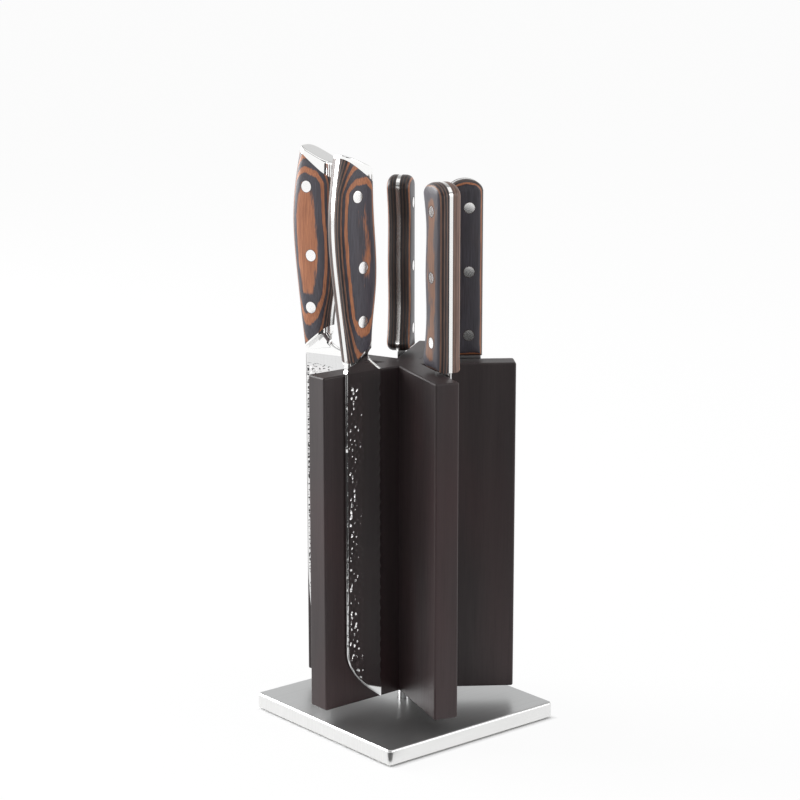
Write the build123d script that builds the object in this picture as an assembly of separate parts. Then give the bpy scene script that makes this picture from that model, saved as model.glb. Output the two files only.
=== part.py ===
from build123d import *
import math
import os

os.makedirs("parts", exist_ok=True)

# Base plate and pad
base_side = 130.0
base_thickness = 9.4
base_corner_radius = 2.5
base_top_radius = 1.4
base_bottom_chamfer = 0.4
pad_thickness = 1.0
pad_inset = 5.0
pad_corner_radius = 4.0

# Spindle, bush and fasteners
web_thickness = 1.8
spindle_diameter = 7.6
journal_diameter = 5.6
spindle_grip = 30.0
spindle_chamfer = 0.8
running_clearance = 0.04
axial_clearance = 0.05
hole_clearance = 0.3
bush_wall = 4.2
washer_thickness = 0.6
washer_rim_clearance = 0.1
retainer_rim = 2.7
retainer_thickness = 0.8
screw_diameter = 3.0
screw_head_rim = 1.3
screw_head_height = 1.8
screw_head_chamfer = 0.5
screw_socket_width = 2.0
screw_socket_depth = 1.0
screw_length = 10.0
screw_hole_spare = 2.0
pad_screw_clearance = 0.25

# Wooden star
wing_count = 5
first_wing_angle = 54.0
wing_reach = 66.8
wing_thickness = 15.0
face_thickness = 4.0
block_height = 203.5
block_gap = 8.6
wing_edge_radius = 1.2
insert_wall = 3.0
insert_flange = 3.0
insert_flange_thickness = 1.5
insert_spare_depth = 2.0

# Magnets in the wings
magnet_count = 3
magnet_width = 24.0
magnet_height = 36.0
magnet_thickness = 5.0
magnet_pitch = 56.0
magnet_reach = 41.0
magnet_clearance = 0.1

# Blade stock and its place on a wing
blade_clearance = 0.15
edge_thickness = 0.3
forged_spine_thickness = 2.6
shoulder_clearance = 0.7

# Chef's and bread knife handles: height above the shoulder, outward lift of the spine, width, thickness
shoulder_width = 17.0
shoulder_thickness = 13.0
neck_height = 16.0
neck_lift = 1.8
neck_width = 17.7
neck_thickness = 14.4
grip_height = 52.0
grip_lift = 6.0
grip_width = 26.4
grip_thickness = 16.6
swell_height = 92.0
swell_lift = 8.2
swell_width = 28.0
swell_thickness = 17.0
butt_lift = 1.5
butt_width = 21.6
butt_thickness = 16.0
oval_fullness = 3.2
oval_points = 16
tang_thickness = 2.8
handle_step = 1.8

# Their bolster, end cap and rivets
bolster_height = 7.0
bolster_slant = 38.5
bolster_land = 0.6
bolster_foot = 3.0
bolster_hollow = 0.55
cap_seat_height = 124.4
cap_seat_slant = 36.5
cap_rise = 3.3
cap_top_slant = 24.0
cap_edge_radius = 1.0
cap_cut_spare = 0.3
root_inset = 2.0
root_spine_height = 4.0
root_belly_height = 14.0
root_thickness = 3.2
root_overlap = 2.5
forged_rivet_diameter = 7.2
upper_rivet_drop = 20.2
upper_rivet_inset = 4.2
middle_rivet_height = 62.8
middle_rivet_inset = 7.1
lower_rivet_height = 31.0
lower_rivet_inset = 6.4

# Chef's knife
chef_blade_length = 202.0
chef_blade_width = 45.0
chef_tip_run = 70.0
chef_tip_drop = 9.0
chef_heel_slope = 12.0
chef_handle_drop = 1.7
chef_handle_tilt = 0.0
chef_spine_place = 64.6
chef_wing = 2

# Bread knife
bread_blade_length = 204.0
bread_blade_width = 27.5
bread_tip_run = 34.0
bread_tip_slope = 36.0
bread_heel_slope = 40.0
bread_handle_drop = 0.0
bread_handle_tilt = 1.6
scallop_pitch = 6.6
scallop_depth = 0.9
scallop_start = 9.0
scallop_end = 10.0
bread_spine_place = 52.3
bread_wing = 3

# Small knives
small_stock_thickness = 2.2
small_handle_thickness = 15.0
small_side_radius = 4.0
small_front_width = 20.5
small_front_radius = 5.0
small_waist_width = 16.6
small_waist_height = 26.0
small_middle_width = 17.8
small_middle_height = 54.0
small_hollow_width = 17.0
small_hollow_height = 82.0
small_butt_width = 20.6
small_butt_height = 99.2
small_butt_rise = 7.3
small_rivet_diameter = 6.7
small_rivet_inset = 8.8
small_rivet_bottom = 13.0
small_rivet_pitch = 38.4
small_rivet_count = 3
rivet_proud = 0.15
small_blade_length = 118.0
small_blade_width = 19.5
small_tip_run = 40.0
small_tip_drop = 4.0

# Where the small knives hang: wing, distance of the spine from the axis, height above the block
back_knife_wing = 1
back_knife_place = 34.5
back_knife_rise = 2.8
front_knife_wing = 4
front_knife_place = 50.7
front_knife_rise = 2.1
front_knife_extra_width = 4.5
front_knife_extra_front = 3.5
right_knife_wing = 0
right_knife_place = 47.2
right_knife_rise = 2.3

# Levels worked out from the sizes above
plate_bottom = pad_thickness
plate_top = plate_bottom + base_thickness
block_bottom = plate_top + block_gap
block_top = block_bottom + block_height
wing_step = 360.0 / wing_count
half_thickness = wing_thickness / 2
mitre_reach = half_thickness / math.tan(math.radians(wing_step / 2))
glue_plane = half_thickness - face_thickness
web_bottom = plate_top - web_thickness
bush_top = web_bottom - washer_thickness
screw_head_bottom = plate_bottom + pad_screw_clearance
retainer_bottom = screw_head_bottom + screw_head_height
journal_bottom = retainer_bottom + retainer_thickness
bush_bottom = journal_bottom + axial_clearance
bush_bore = journal_diameter + 2 * running_clearance
bush_diameter = bush_bore + 2 * bush_wall
shoulder_level = web_bottom + axial_clearance
retainer_diameter = journal_diameter + 2 * retainer_rim
insert_diameter = spindle_diameter + 2 * insert_wall
insert_top = block_bottom + spindle_grip + insert_spare_depth
cap_top_height = cap_seat_height + cap_rise
butt_height = cap_top_height + swell_lift * math.tan(math.radians(cap_top_slant)) + cap_cut_spare


def rod(diameter, low, high):
    """A round bar about the spindle's axis, from one level to another."""
    return Pos(0, 0, low) * Cylinder(
        diameter / 2, high - low, align=(Align.CENTER, Align.CENTER, Align.MIN)
    )


def save(name, shape):
    """Write one piece, or a group of like pieces, under its node name."""
    export_step(shape, f"parts/{name}.step")


def slab(side, low, thickness):
    """A square slab about the axis, standing on one level."""
    return Pos(0, 0, low) * Box(side, side, thickness, align=(Align.CENTER, Align.CENTER, Align.MIN))


# Base body

def make_base_plate():
    """The steel plate, bored from below for the bush, with a web left over it."""
    plate = slab(base_side, plate_bottom, base_thickness)
    plate = fillet(plate.edges().filter_by(Axis.Z), base_corner_radius)
    plate = fillet(plate.faces().sort_by(Axis.Z)[-1].edges(), base_top_radius)
    plate = chamfer(plate.faces().sort_by(Axis.Z)[0].edges(), base_bottom_chamfer)
    plate -= rod(bush_diameter, plate_bottom, web_bottom)
    return plate - rod(spindle_diameter + 2 * hole_clearance, web_bottom, plate_top)


def make_base_pad():
    """The thin non-slip pad glued under the plate."""
    pad = slab(base_side - 2 * pad_inset, 0, pad_thickness)
    return fillet(pad.edges().filter_by(Axis.Z), pad_corner_radius)


def make_pivot_bush():
    """The plain bearing pressed into the plate."""
    return rod(bush_diameter, bush_bottom, bush_top) - rod(bush_bore, bush_bottom, bush_top)


def make_thrust_washer():
    """The slippery washer that carries the spindle's shoulder."""
    rim = bush_diameter - 2 * washer_rim_clearance
    bore = journal_diameter + 2 * hole_clearance
    return rod(rim, bush_top, web_bottom) - rod(bore, bush_top, web_bottom)


# Block body

def make_spindle():
    """The shouldered steel spindle, tapped at its foot."""
    post = rod(spindle_diameter, shoulder_level, block_bottom + spindle_grip)
    post = chamfer(post.edges().sort_by(Axis.Z)[-1], spindle_chamfer)
    journal = rod(journal_diameter, journal_bottom, shoulder_level)
    hole = rod(screw_diameter, journal_bottom, journal_bottom + screw_length + screw_hole_spare)
    return post + journal - hole


def make_retaining_washer():
    """The washer that keeps the spindle in its bush."""
    washer = rod(retainer_diameter, retainer_bottom, journal_bottom)
    return washer - rod(screw_diameter, retainer_bottom, journal_bottom)


def make_retaining_screw():
    """The low-headed screw in the spindle's foot."""
    head = rod(screw_diameter + 2 * screw_head_rim, screw_head_bottom, retainer_bottom)
    head = chamfer(head.edges().sort_by(Axis.Z)[0], screw_head_chamfer)
    shank = rod(screw_diameter, retainer_bottom, journal_bottom + screw_length)
    socket = RegularPolygon(screw_socket_width / 2, 6, major_radius=False)
    return head + shank - extrude(Pos(0, 0, screw_head_bottom) * socket, screw_socket_depth)


def make_block_insert():
    """The flanged insert that takes the spindle in the underside of the block."""
    sleeve = rod(insert_diameter, block_bottom, insert_top)
    flange_top = block_bottom + insert_flange_thickness
    flange = rod(insert_diameter + 2 * insert_flange, block_bottom, flange_top)
    return sleeve + flange - rod(spindle_diameter, block_bottom, insert_top)


def insert_space():
    """The room for the insert in the middle of the star."""
    flange_top = block_bottom + insert_flange_thickness
    flange = rod(insert_diameter + 2 * insert_flange, block_bottom, flange_top)
    return rod(insert_diameter, block_bottom, insert_top) + flange


def wing_blank():
    """One whole wing along +X, mitred at the axis, with its outer edges rounded."""
    outline = Polyline(
        (0, 0),
        (mitre_reach, -half_thickness),
        (wing_reach, -half_thickness),
        (wing_reach, half_thickness),
        (mitre_reach, half_thickness),
        close=True,
    )
    blank = extrude(Pos(0, 0, block_bottom) * make_face(outline), block_height)
    outer = [edge for edge in blank.edges() if edge.center().X > mitre_reach + wing_edge_radius]
    return fillet(outer, wing_edge_radius) - insert_space()


def magnet_bars(spare):
    """The bar magnets of one wing, flush with the glue plane, or their pockets."""
    middle = block_bottom + block_height / 2
    size = Box(
        magnet_width + 2 * spare,
        magnet_thickness,
        magnet_height + 2 * spare,
        align=(Align.CENTER, Align.MAX, Align.CENTER),
    )
    heights = [middle + (i - (magnet_count - 1) / 2) * magnet_pitch for i in range(magnet_count)]
    return [Pos(magnet_reach, glue_plane, height) * size for height in heights]


def make_wing():
    """The board, the knife-side face and the magnets of one wing along +X."""
    glue = Plane.XZ.offset(-glue_plane)
    blank = wing_blank()
    face = split(blank, bisect_by=glue, keep=Keep.BOTTOM)
    board = split(blank, bisect_by=glue, keep=Keep.TOP)
    for pocket in magnet_bars(magnet_clearance):
        board -= pocket
    return board, face, Compound(children=magnet_bars(0))


# Knives: +X points outwards from the blade's spine, Y goes through it, Z is up from its shoulder

def wedge(width, spine_thickness, length):
    """The ground section of a blade, thick at the spine and thin at the edge."""
    section = Polyline(
        (0, -spine_thickness / 2),
        (0, spine_thickness / 2),
        (-width, edge_thickness / 2),
        (-width, -edge_thickness / 2),
        close=True,
    )
    return extrude(make_face(section), -length)


def plate_of(outline, thickness):
    """A flat plate of a side outline, centred on the blade's plane."""
    return extrude(Plane.XZ * make_face(outline), thickness / 2, both=True)


def pointed_blade(width, length, spine_thickness, tip_run, tip_drop):
    """A blade with a straight spine that dips to the point, and a bellied edge."""
    point = (-tip_drop, -length)
    bend = (0, tip_run - length)
    outline = [
        Line((0, 0), bend),
        Spline(bend, point, tangents=((0, -1), (-tip_drop, -tip_run / 2))),
        Spline(point, (-width, 0), tangents=((tip_drop - width, tip_run), (0, 1))),
        Line((-width, 0), (0, 0)),
    ]
    return plate_of(outline, spine_thickness) & wedge(width, spine_thickness, length)


def scalloped_edge(low, high):
    """The arcs of a bread knife's edge between two heights, and the height where they end."""
    count = int((high - low) / scallop_pitch)
    feet = [low + i * scallop_pitch for i in range(count)]
    hollow = scallop_depth - bread_blade_width
    arcs = [
        ThreePointArc(
            (-bread_blade_width, foot),
            (hollow, foot + scallop_pitch / 2),
            (-bread_blade_width, foot + scallop_pitch),
        )
        for foot in feet
    ]
    return arcs, low + count * scallop_pitch


def make_bread_blade():
    """The long blade whose spine curves down to a point on the scalloped edge."""
    bend = (0, bread_tip_run - bread_blade_length)
    point = (-bread_blade_width, -bread_blade_length)
    slope = math.radians(bread_tip_slope)
    first = scallop_end - bread_blade_length
    arcs, last = scalloped_edge(first, -scallop_start)
    outline = [
        Line((0, 0), bend),
        Spline(bend, point, tangents=((0, -1), (-math.cos(slope), -math.sin(slope)))),
        Line(point, (-bread_blade_width, first)),
        *arcs,
        Line((-bread_blade_width, last), (-bread_blade_width, 0)),
        Line((-bread_blade_width, 0), (0, 0)),
    ]
    blank = plate_of(outline, forged_spine_thickness)
    return blank & wedge(bread_blade_width, forged_spine_thickness, bread_blade_length)


def oval(height, lift, width, thickness):
    """One full oval section of a handle, with its spine side lifted outwards."""
    power = 2 / oval_fullness
    points = []
    for step in range(oval_points):
        angle = 2 * math.pi * step / oval_points
        across = math.copysign(abs(math.cos(angle)) ** power, math.cos(angle)) * width / 2
        through = math.copysign(abs(math.sin(angle)) ** power, math.sin(angle)) * thickness / 2
        points.append((across + lift - width / 2, through))
    return Pos(0, 0, height) * make_face(Spline(points, periodic=True))


def forged_form():
    """The whole contoured handle, from the shoulder to above its end cap."""
    return loft(
        [
            oval(0, 0, shoulder_width, shoulder_thickness),
            oval(neck_height, neck_lift, neck_width, neck_thickness),
            oval(grip_height, grip_lift, grip_width, grip_thickness),
            oval(swell_height, swell_lift, swell_width, swell_thickness),
            oval(butt_height, butt_lift, butt_width, butt_thickness),
        ]
    )


def slanted_plane(height, slant):
    """A plane square to the blade, at this height over its spine, that rises outwards by the slant."""
    angle = math.radians(slant)
    return Plane((0, 0, height), x_dir=(0, 1, 0), z_dir=(-math.sin(angle), 0, math.cos(angle)))


def bolster_profile(place):
    """The bolster's section at a place across it, hollowed from the scales down to the tang."""
    full = swell_thickness / 2
    thin = tang_thickness / 2
    seam = bolster_height - place * math.tan(math.radians(bolster_slant))
    rise = seam - bolster_land - bolster_foot
    waist = (thin, bolster_foot + bolster_hollow * rise)
    flare = ((thin + full) / 2, bolster_foot + (1 + bolster_hollow) / 2 * rise)
    side = Bezier((thin, bolster_foot), waist, flare, (full, seam - bolster_land))
    top = Polyline((full, seam - bolster_land), (full, seam + bolster_land), (0, seam + bolster_land))
    foot = Polyline((0, 0), (thin, 0), (thin, bolster_foot))
    half = [foot, side, top]
    outline = half + [mirror(edge, about=Plane.YZ) for edge in half]
    return Plane((place, 0, 0), x_dir=(0, 1, 0), z_dir=(1, 0, 0)) * make_face(outline)


def bolster_form():
    """The wedge that thins the bolster, shallow under the spine and long under the belly."""
    return loft([bolster_profile(neck_lift), bolster_profile(-grip_width)], ruled=True)


def root_plate(width, heel_slope):
    """The flat root that flares from the neck of the handle to the full width of the blade."""
    slope = math.radians(heel_slope)
    heel = (-width, 0)
    spine = (neck_lift - handle_step - root_inset, root_spine_height)
    belly = (neck_lift - handle_step - neck_width + root_inset, root_belly_height)
    outline = [
        Spline(heel, belly, tangents=((math.cos(slope), math.sin(slope)), (0, 1))),
        Line(belly, spine),
        Spline(spine, (0, 0), tangents=((0, -1), (0, -1))),
        Line((0, 0), heel),
    ]
    return plate_of(outline, root_thickness)


def cross_pin(diameter, length, inset, height):
    """A pin through the handle, square to the blade."""
    return Pos(-inset, 0, height) * Rot(90, 0, 0) * Cylinder(diameter / 2, length)


def forged_pins():
    """The three rivets of a forged handle, longer than it is thick."""
    places = (
        (upper_rivet_inset, cap_seat_height - upper_rivet_drop),
        (middle_rivet_inset, middle_rivet_height),
        (lower_rivet_inset, lower_rivet_height),
    )
    return [cross_pin(forged_rivet_diameter, 2 * swell_thickness, *place) for place in places]


def tang_sides(shape, thickness):
    """The parts of a shape outside and inside the tang."""
    outer = split(shape, bisect_by=Plane.XZ.offset(-thickness / 2), keep=Keep.BOTTOM)
    inner = split(shape, bisect_by=Plane.XZ.offset(thickness / 2), keep=Keep.TOP)
    return outer, inner


def without(shape, tools):
    """A shape with each tool cut from it."""
    for tool in tools:
        shape -= tool
    return shape


def make_end_cap(form):
    """The polished cap between its slanted seat and its slanted top."""
    cap = split(form, bisect_by=slanted_plane(cap_seat_height, cap_seat_slant), keep=Keep.TOP)
    top = slanted_plane(cap_top_height, cap_top_slant)
    cap = split(cap, bisect_by=top, keep=Keep.BOTTOM)
    crown = [face for face in cap.faces() if abs(top.to_local_coords(face.center()).Z) < cap_cut_spare]
    return fillet(crown[0].edges(), cap_edge_radius)


def make_forged_handle():
    """The steel of a bolster and tang, the two scales, the end cap and the rivets that hold them."""
    form = forged_form()
    pins = forged_pins()
    below_cap = split(form, bisect_by=slanted_plane(cap_seat_height, cap_seat_slant), keep=Keep.BOTTOM)
    seam = slanted_plane(bolster_height, -bolster_slant)
    grip = split(below_cap, bisect_by=seam, keep=Keep.TOP)
    bolster = split(below_cap, bisect_by=seam, keep=Keep.BOTTOM) & bolster_form()
    tang = below_cap & Box(4 * swell_width, tang_thickness, 2 * butt_height)
    steel = split(bolster + tang, bisect_by=Plane.XY.offset(root_overlap), keep=Keep.TOP)
    outer, inner = tang_sides(without(grip, pins), tang_thickness)
    return {
        "steel": without(steel, pins),
        "scale_outer": outer,
        "scale_inner": inner,
        "end_cap": make_end_cap(form),
        "rivets": Compound(children=[pin & form for pin in pins]),
    }


def make_forged_knife(handle, blade, root, drop, tilt):
    """A blade joined by its flared root to the steel of the handle, and the handle's other pieces."""
    seat = Pos(-handle_step, 0, -drop) * Rot(0, tilt, 0)
    placed = {piece: seat * shape for piece, shape in handle.items()}
    steel = placed.pop("steel")
    return {"blade": blade + root + steel, **placed}


def small_outline(extra_width, extra_front):
    """The side outline of a small handle: straight spine, round butt and waved belly."""
    round_start = small_butt_height + extra_front
    butt_width = small_butt_width + extra_width
    front_width = small_front_width + extra_width
    front_corner = (-front_width, small_front_radius)
    return [
        Line((0, 0), (0, round_start)),
        Spline(
            (0, round_start),
            (-butt_width / 2, round_start + small_butt_rise),
            (-butt_width, round_start),
            tangents=((0, 1), (0, -1)),
        ),
        Spline(
            (-butt_width, round_start),
            (-small_hollow_width - extra_width, small_hollow_height + extra_front),
            (-small_middle_width - extra_width, small_middle_height + extra_front),
            (-small_waist_width - extra_width, small_waist_height + extra_front),
            front_corner,
            tangents=((0, -1), (0, -1)),
        ),
        TangentArc(front_corner, (small_front_radius - front_width, 0), tangent=(0, -1)),
        Line((small_front_radius - front_width, 0), (0, 0)),
    ]


def make_small_knife(extra_width, extra_front):
    """A flat blade with full tang, two rounded scales and three rivets."""
    outline = small_outline(extra_width, extra_front)
    tang = plate_of(outline, small_stock_thickness)
    slab_form = plate_of(outline, small_handle_thickness)
    rims = [face.edges() for face in slab_form.faces().filter_by(Axis.Y)]
    slab_form = fillet([edge for rim in rims for edge in rim], small_side_radius)
    lowest = small_rivet_bottom + extra_front
    inset = small_rivet_inset + extra_width / 2
    pin_length = small_handle_thickness + 2 * rivet_proud
    pins = [
        cross_pin(small_rivet_diameter, pin_length, inset, lowest + i * small_rivet_pitch)
        for i in range(small_rivet_count)
    ]
    outer, inner = tang_sides(without(slab_form, pins), small_stock_thickness)
    blade = pointed_blade(
        small_blade_width, small_blade_length, small_stock_thickness, small_tip_run, small_tip_drop
    )
    return {
        "blade": blade + without(tang, pins),
        "scale_outer": outer,
        "scale_inner": inner,
        "rivets": Compound(children=pins),
    }


def wing_turn(wing):
    """The turn of a wing about the axis, counted from the first one."""
    return Rot(0, 0, first_wing_angle + wing * wing_step)


def hang(name, knife, wing, place, rise, width, spine_thickness):
    """Save a knife's pieces with its blade's flank along the face of a wing."""
    lean = math.atan((spine_thickness - edge_thickness) / 2 / width)
    stand = half_thickness + blade_clearance + spine_thickness / 2 * math.cos(lean)
    spot = wing_turn(wing) * Pos(place, stand, block_top + rise) * Rot(0, 0, math.degrees(lean))
    for piece, shape in knife.items():
        save(f"{name}_{piece}", spot * shape)


save("base_plate", make_base_plate())
save("base_pad", make_base_pad())
save("pivot_bush", make_pivot_bush())
save("thrust_washer", make_thrust_washer())
save("spindle", make_spindle())
save("retaining_washer", make_retaining_washer())
save("retaining_screw", make_retaining_screw())
save("block_insert", make_block_insert())

wing_board, wing_face, wing_magnets = make_wing()
for wing in range(wing_count):
    save(f"wing_board_{wing + 1}", wing_turn(wing) * wing_board)
    save(f"wing_face_{wing + 1}", wing_turn(wing) * wing_face)
    save(f"wing_magnets_{wing + 1}", wing_turn(wing) * wing_magnets)

forged_handle = make_forged_handle()
chef_blade = pointed_blade(
    chef_blade_width, chef_blade_length, forged_spine_thickness, chef_tip_run, chef_tip_drop
)
chef_root = root_plate(chef_blade_width, chef_heel_slope)
chef_knife = make_forged_knife(forged_handle, chef_blade, chef_root, chef_handle_drop, chef_handle_tilt)
hang(
    "chef_knife",
    chef_knife,
    chef_wing,
    chef_spine_place,
    shoulder_clearance,
    chef_blade_width,
    forged_spine_thickness,
)
bread_root = root_plate(bread_blade_width, bread_heel_slope)
bread_knife = make_forged_knife(
    forged_handle, make_bread_blade(), bread_root, bread_handle_drop, bread_handle_tilt
)
hang(
    "bread_knife",
    bread_knife,
    bread_wing,
    bread_spine_place,
    shoulder_clearance,
    bread_blade_width,
    forged_spine_thickness,
)

small_knife = make_small_knife(0, 0)
small_stock = (small_blade_width, small_stock_thickness)
hang("back_knife", small_knife, back_knife_wing, back_knife_place, back_knife_rise, *small_stock)
hang("right_knife", small_knife, right_knife_wing, right_knife_place, right_knife_rise, *small_stock)
front_knife = make_small_knife(front_knife_extra_width, front_knife_extra_front)
hang("front_knife", front_knife, front_knife_wing, front_knife_place, front_knife_rise, *small_stock)
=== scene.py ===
import math

import bmesh
import bpy
import numpy as np
from bpy.props import FloatProperty, FloatVectorProperty, IntProperty, PointerProperty
from mathutils import Matrix, Vector


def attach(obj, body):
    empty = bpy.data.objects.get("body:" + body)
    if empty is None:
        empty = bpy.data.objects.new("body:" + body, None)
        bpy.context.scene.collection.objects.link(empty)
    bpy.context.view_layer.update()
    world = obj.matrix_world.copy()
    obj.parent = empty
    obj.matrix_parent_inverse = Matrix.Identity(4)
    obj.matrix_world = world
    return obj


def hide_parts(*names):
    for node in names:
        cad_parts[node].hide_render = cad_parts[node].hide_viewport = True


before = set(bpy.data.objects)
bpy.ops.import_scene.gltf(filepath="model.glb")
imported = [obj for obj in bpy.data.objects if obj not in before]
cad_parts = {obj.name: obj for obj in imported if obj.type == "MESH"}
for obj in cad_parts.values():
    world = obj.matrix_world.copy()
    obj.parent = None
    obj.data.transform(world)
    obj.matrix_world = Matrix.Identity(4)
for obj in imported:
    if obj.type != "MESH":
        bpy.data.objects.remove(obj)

bl_info = {
    "name": "Knife block looks",
    "version": (1, 0, 0),
    "blender": (4, 5, 0),
    "location": "3D View > Sidebar > Knife block",
    "description": "Builds the knives, finishes and studio of a turning knife block",
    "category": "Object",
}

# Places of the neck and the swell in the rows of a contoured handle's sizes
NECK, SWELL = 1, 3


def mm(value):
    """A length in millimetres, in metres."""
    return value / 1000.0


def exact(row):
    """A row of stored lengths without the rounding of their storage."""
    return [round(value, 7) for value in row]


def tint(code):
    """A linear colour from six sRGB hex digits."""
    parts = [int(code[i:i + 2], 16) / 255 for i in (0, 2, 4)]
    linear = [c / 12.92 if c <= 0.04045 else ((c + 0.055) / 1.055) ** 2.4 for c in parts]
    return (*linear, 1.0)


def settings_of(make, convert, **kind):
    """A function that makes settings of one kind, each from a name, a description and a default."""
    def setting(name, description, default):
        return make(name=name, description=description, default=convert(default), **kind)

    return setting


# Their defaults are millimetres, degrees, plain numbers, counts and sRGB hex digits
length = settings_of(FloatProperty, mm, unit="LENGTH", precision=5)
turn = settings_of(FloatProperty, math.radians, unit="ROTATION")
number = settings_of(FloatProperty, float, subtype="FACTOR", max=1000.0)
count = settings_of(IntProperty, int, min=0, subtype="UNSIGNED")
colour = settings_of(FloatVectorProperty, tint, size=4, min=0.0, max=1.0, subtype="COLOR")


def lengths(name, description, *millimetres):
    """A setting of a row of lengths, with its defaults in millimetres."""
    row = settings_of(FloatVectorProperty, list, size=len(millimetres), unit="LENGTH", precision=5)
    return row(name, description, map(mm, millimetres))


class StarSettings(bpy.types.PropertyGroup):
    """Where the knives stand on the wooden star."""
    first_wing: turn("First wing", "Angle of the first wing about the axis", 54.0)
    wing_step: turn("Wing step", "Angle from one wing to the next", 72.0)
    half_thickness: length("Half thickness", "Half the thickness of a wing", 7.5)
    top: length("Top", "Height of the block's top", 222.5)
    gap: length("Gap", "Gap between a wing and the blade on it", 0.15)


class ForgedSettings(bpy.types.PropertyGroup):
    """Sizes of the contoured handles."""
    heights: lengths("Heights", "Heights of shoulder, neck, grip, swell and butt", 0, 16, 52, 92, 131.65)
    lifts: lengths("Lifts", "Outward lift of the spine at these heights", 0, 1.8, 6, 7.95, 1.5)
    widths: lengths("Widths", "Width of the oval at these heights", 17, 17.7, 26.4, 27.75, 21.6)
    depths: lengths("Thicknesses", "Thickness of the oval at these heights", 13, 14.4, 16.6, 17, 16)
    fullness: number("Fullness", "Power of the oval section, 2 for an ellipse", 3.2)
    tang: length("Tang", "Thickness of the tang", 2.8)
    root: length("Root", "Thickness of the root below the bolster", 3.2)
    seam_height: length("Seam height", "Height of the bolster's seam over the spine", 7.0)
    seam_slant: turn("Seam slant", "Fall of the bolster's seam outwards", 38.5)
    land: length("Land", "Full rim of the bolster beside the scales", 0.6)
    foot: length("Foot", "Height at which the bolster starts to swell", 3.0)
    hollow: number("Hollow", "Share of the bolster's height that stays thin", 0.55)
    root_inset: length("Root inset", "How far the root ends inside the neck", 2.0)
    root_spine: length("Root at the spine", "Height of the root at the spine", 4.0)
    root_belly: length("Root at the belly", "Height of the root at the belly", 14.0)
    root_round: length("Root round", "Width of the root's rounded edge at the belly", 3.0)
    step: length("Step", "How far the handle's spine stands in from the blade's", 1.8)
    rise: length("Rise", "Height of the shoulder over the block's top", 0.7)
    seat_height: length("Seat height", "Height of the cap's seat over the spine", 124.4)
    seat_slant: turn("Seat slant", "Rise of the cap's seat outwards", 36.5)
    cap_height: length("Cap height", "Height of the cap's top over the spine", 127.7)
    cap_slant: turn("Cap slant", "Rise of the cap's top outwards", 24.0)
    cap_edge: length("Cap edge", "Round of the cap's top edge", 1.0)
    rivet: length("Rivet", "Diameter of a rivet", 7.2)
    rivet_heights: lengths("Rivet heights", "Heights of the three rivets", 104.2, 62.8, 31.0)
    rivet_insets: lengths("Rivet insets", "Insets of the three rivets from the spine", 4.2, 7.1, 6.4)
    rivet_dome: length("Rivet dome", "Rise of a rivet in its middle", 0.12)
    stock: length("Stock", "Thickness of the blade at its spine", 2.6)


class BladeSettings(bpy.types.PropertyGroup):
    """Sizes of the blades and their hammer dents."""
    chef: lengths("Chef's blade", "Width, length, and run and drop of the tip", 45, 202, 70, 9)
    bread: lengths("Bread blade", "Width, length, and run of the tip", 27.5, 204, 34)
    scallops: lengths("Scallops", "Pitch, depth and free ends of the scallops", 6.6, 0.9, 9, 10)
    edge: length("Edge", "Thickness of a blade at its cutting edge", 0.3)
    spine_round: length("Spine round", "Round of a blade's spine", 1.1)
    cell: length("Cell", "Spacing of the mesh on a blade", 0.44)
    dent_spacing: length("Dent spacing", "Least distance between large hammer dents", 2.9)
    dent_radius: length("Dent radius", "Radius of a large hammer dent", 2.1)
    dent_depth: length("Dent depth", "Depth of a large hammer dent", 0.62)
    dent_seed: count("Dent seed", "Seed of the scatter of dents", 7)


class SmallSettings(bpy.types.PropertyGroup):
    """Sizes of the small knives."""
    stock: length("Stock", "Thickness of blade and tang", 2.2)
    thickness: length("Thickness", "Thickness of the handle", 15.0)
    side_round: length("Side round", "Round of the handle's rims", 4.0)
    crown: length("Crown", "Rise of the handle's faces in the middle", 0.25)
    front: length("Front width", "Width of the handle at its front", 20.5)
    front_round: length("Front round", "Round of the handle's front corner", 5.0)
    belly_heights: lengths("Belly heights", "Heights of waist, middle and upper hollow", 26, 54, 82)
    belly_widths: lengths("Belly widths", "Widths at waist, middle and upper hollow", 16.6, 17.8, 17)
    butt: length("Butt width", "Width of the butt", 20.6)
    butt_height: length("Butt height", "Height at which the butt starts to round", 99.2)
    butt_rise: length("Butt rise", "Rise of the rounded butt", 7.3)
    rivet: length("Rivet", "Diameter of a rivet", 6.7)
    rivet_inset: length("Rivet inset", "Distance of the rivets from the spine", 8.8)
    rivet_bottom: length("Lowest rivet", "Height of the lowest rivet", 13.0)
    rivet_pitch: length("Rivet pitch", "Distance between rivets", 38.4)
    rivet_dome: length("Rivet dome", "Rise of a rivet in its middle", 0.04)
    blade_length: length("Blade length", "Length of the blade", 118.0)
    blade_width: length("Blade width", "Width of the blade", 19.5)
    tip_run: length("Tip run", "Length over which the spine dips", 40.0)
    tip_drop: length("Tip drop", "Dip of the spine at the point", 4.0)


class ColourSettings(bpy.types.PropertyGroup):
    """Main colours of the finishes."""
    wood: colour("Wood", "Main colour of the wooden star", "2d2425")
    figure: colour("Figure", "Lighter figure in the star's wood", "362d2e")
    brown: colour("Brown", "Darker tone of the handles' brown layers", "8f563b")
    light_brown: colour("Light brown", "Lighter tone of the handles' brown layers", "c4825b")
    charcoal: colour("Charcoal", "Darker tone of the handles' dark layers", "37353b")
    light_charcoal: colour("Light charcoal", "Lighter tone of the handles' dark layers", "54515b")
    plate: colour("Plate", "Steel of the base plate", "f1f1f0")
    blade: colour("Blade", "Steel of the blades", "e6e6e6")
    polish: colour("Polish", "Steel of the bolsters and caps", "fefefd")


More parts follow.
